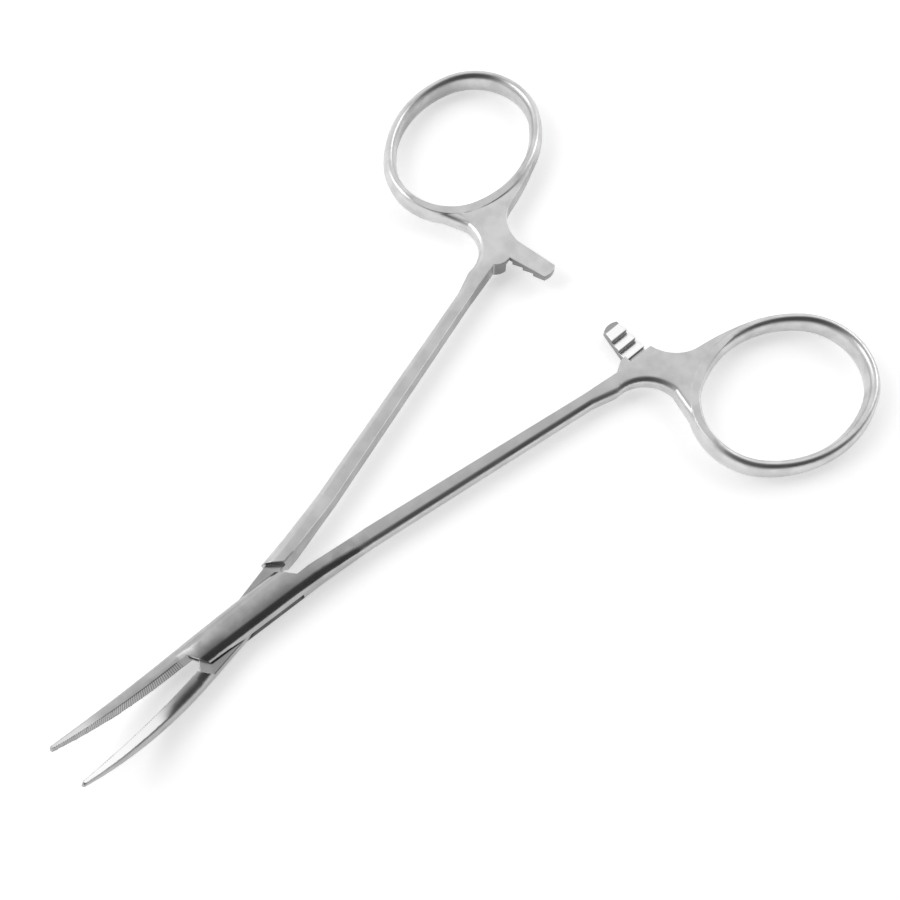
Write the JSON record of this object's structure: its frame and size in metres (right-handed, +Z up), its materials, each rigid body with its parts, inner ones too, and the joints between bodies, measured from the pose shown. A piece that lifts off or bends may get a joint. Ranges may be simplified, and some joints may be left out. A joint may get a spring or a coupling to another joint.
{
  "type": "hemostat forceps",
  "caption": "Curved mosquito haemostat forceps with a box-lock pivot, ratchet catch and two finger rings, polished and satin stainless steel.",
  "frame": {"origin": "on the pivot axis, at the flat underside of the box lock on which the forceps rest", "axes": "+X along the length from the finger rings to the jaw tips, +Z up along the pivot axis, the way the jaws curve, +Y to the ring of the slotted half"},
  "size_m": [0.1223, 0.0906, 0.0086],
  "materials": {
    "slotted_half_steel": "satin with polished edges",
    "through_half_steel": "satin with polished edges",
    "pin_steel": "polished"
  },
  "bodies": {
    "slotted_side": {"box_half": "slotted_half_steel", "pivot_pin": "pin_steel"},
    "through_side": {"through_half": "through_half_steel"}
  },
  "joints": [
    {"name": "box_lock_hinge", "type": "hinge", "parent": "slotted_side", "child": "through_side", "pos_m": [0, 0, 0], "axis": [0, 0, 1], "range_deg": [-12.2, 49]}
  ]
}
